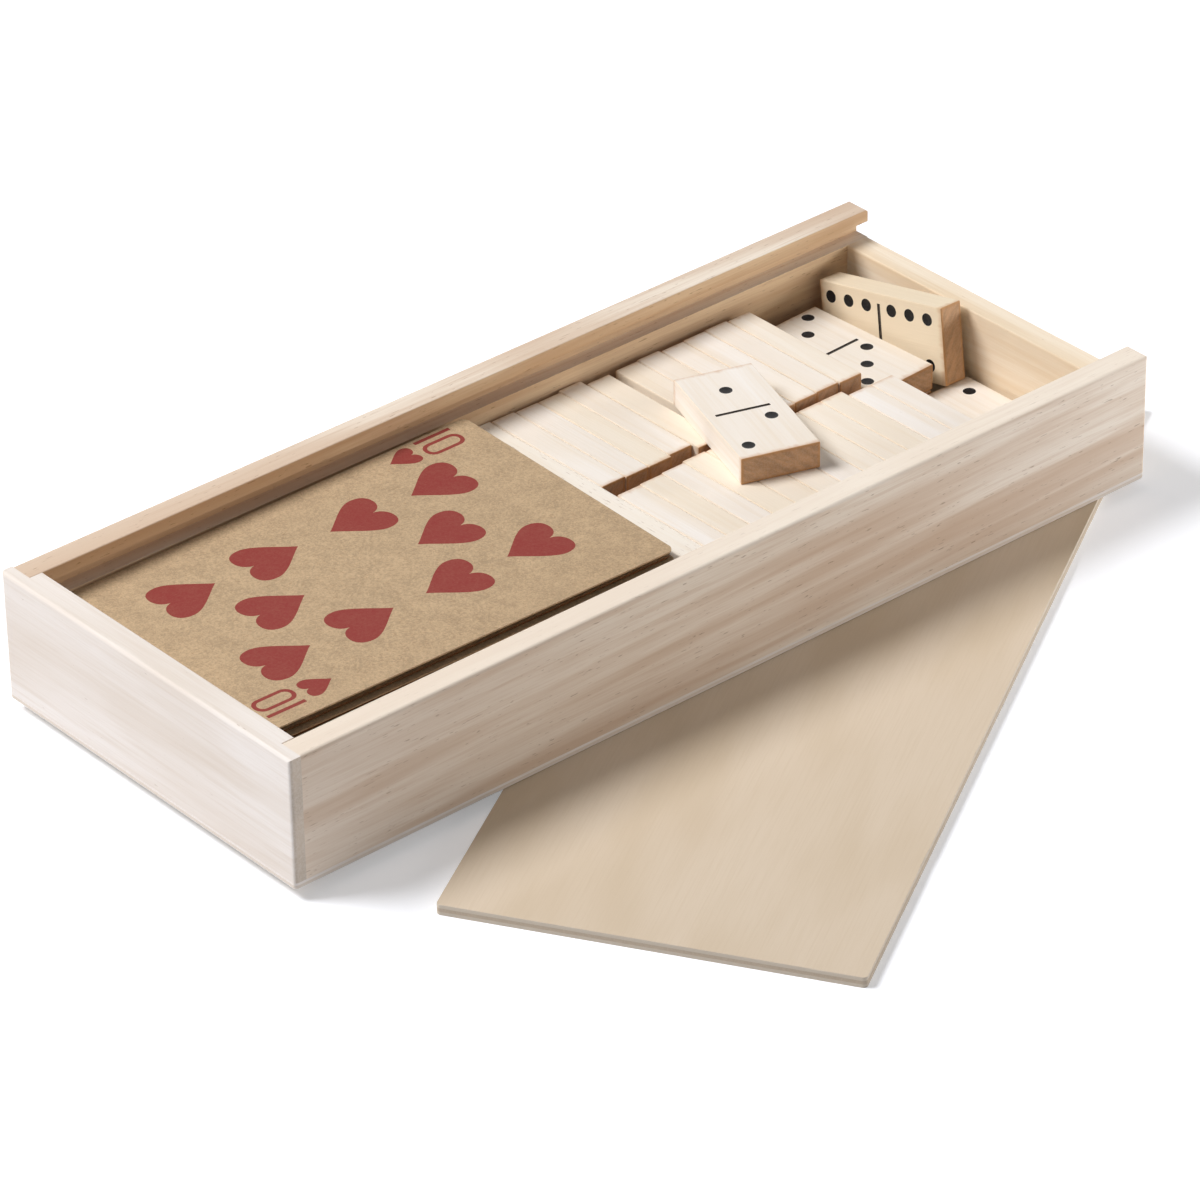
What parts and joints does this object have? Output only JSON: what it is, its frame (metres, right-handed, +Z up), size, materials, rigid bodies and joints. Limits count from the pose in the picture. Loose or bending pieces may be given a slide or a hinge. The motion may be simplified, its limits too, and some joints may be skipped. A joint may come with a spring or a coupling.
{
  "type": "games compendium box",
  "caption": "Long wooden box with a sliding lid and a divider, holding a deck of playing cards on one side and a set of dominoes on the other.",
  "frame": {"origin": "centre of the underside of the box, on the plane where it stands on its lid", "axes": "+Z up; +X along the box to the end where the lid slides in; +Y to the far side wall"},
  "size_m": [0.2117, 0.1587, 0.0272],
  "materials": {
    "pine_walls": "bare sanded pine with fine streaky grain",
    "ply_base": "bare plywood",
    "ply_lid": "bare plywood, matt, with slightly rough edges",
    "kraft_cards": "matt brown kraft card, printed in red",
    "tile_wood": "bare pale wood, printed with black pips"
  },
  "bodies": {
    "box": {"near_wall": "pine_walls", "far_wall": "pine_walls", "closed_end_wall": "pine_walls", "low_end_wall": "pine_walls", "divider": "pine_walls", "base_panel": "ply_base"},
    "lid": {"sliding_lid": "ply_lid"},
    "deck": {"cards_spades": "kraft_cards", "cards_clubs": "kraft_cards", "cards_diamonds": "kraft_cards", "cards_jokers": "kraft_cards", "cards_hearts": "kraft_cards"},
    "top_card": {"card_ten_of_hearts": "kraft_cards"},
    "domino_rows": {"domino_0_0": "tile_wood", "domino_0_1": "tile_wood", "domino_0_2": "tile_wood", "domino_0_3": "tile_wood", "domino_0_5": "tile_wood", "domino_0_6": "tile_wood", "domino_1_1": "tile_wood", "domino_1_3": "tile_wood", "domino_1_4": "tile_wood", "domino_1_5": "tile_wood", "domino_1_6": "tile_wood", "domino_2_2": "tile_wood", "domino_2_3": "tile_wood", "domino_2_4": "tile_wood", "domino_2_6": "tile_wood", "domino_3_4": "tile_wood", "domino_3_5": "tile_wood", "domino_3_6": "tile_wood", "domino_4_4": "tile_wood", "domino_4_5": "tile_wood", "domino_4_6": "tile_wood", "domino_5_5": "tile_wood", "domino_5_6": "tile_wood"},
    "loose_domino": {"domino_1_2": "tile_wood"},
    "pile_low_domino": {"domino_0_4": "tile_wood"},
    "pile_top_domino": {"domino_3_3": "tile_wood"},
    "corner_domino": {"domino_2_5": "tile_wood"},
    "standing_domino": {"domino_6_6": "tile_wood"}
  },
  "joints": [
    {"name": "lid_slide", "type": "slide", "parent": "box", "child": "lid", "axis": [-0.8526, -0.5225, 0], "range_m": [0, 0.2]},
    {"name": "deck_lift", "type": "slide", "parent": "box", "child": "deck", "axis": [0, 0, 1], "range_m": [0, 0.05]},
    {"name": "top_card_lift", "type": "slide", "parent": "deck", "child": "top_card", "axis": [0, 0, 1], "range_m": [0, 0.03]},
    {"name": "rows_lift", "type": "slide", "parent": "box", "child": "domino_rows", "axis": [0, 0, 1], "range_m": [0, 0.05]},
    {"name": "loose_domino_lift", "type": "slide", "parent": "domino_rows", "child": "loose_domino", "axis": [0, 0, 1], "range_m": [0, 0.03]},
    {"name": "pile_low_lift", "type": "slide", "parent": "box", "child": "pile_low_domino", "axis": [0, 0, 1], "range_m": [0, 0.05]},
    {"name": "pile_top_lift", "type": "slide", "parent": "pile_low_domino", "child": "pile_top_domino", "axis": [0, 0, 1], "range_m": [0, 0.03]},
    {"name": "corner_lift", "type": "slide", "parent": "box", "child": "corner_domino", "axis": [0, 0, 1], "range_m": [0, 0.05]},
    {"name": "standing_lift", "type": "slide", "parent": "corner_domino", "child": "standing_domino", "axis": [0, 0, 1], "range_m": [0, 0.03]}
  ]
}
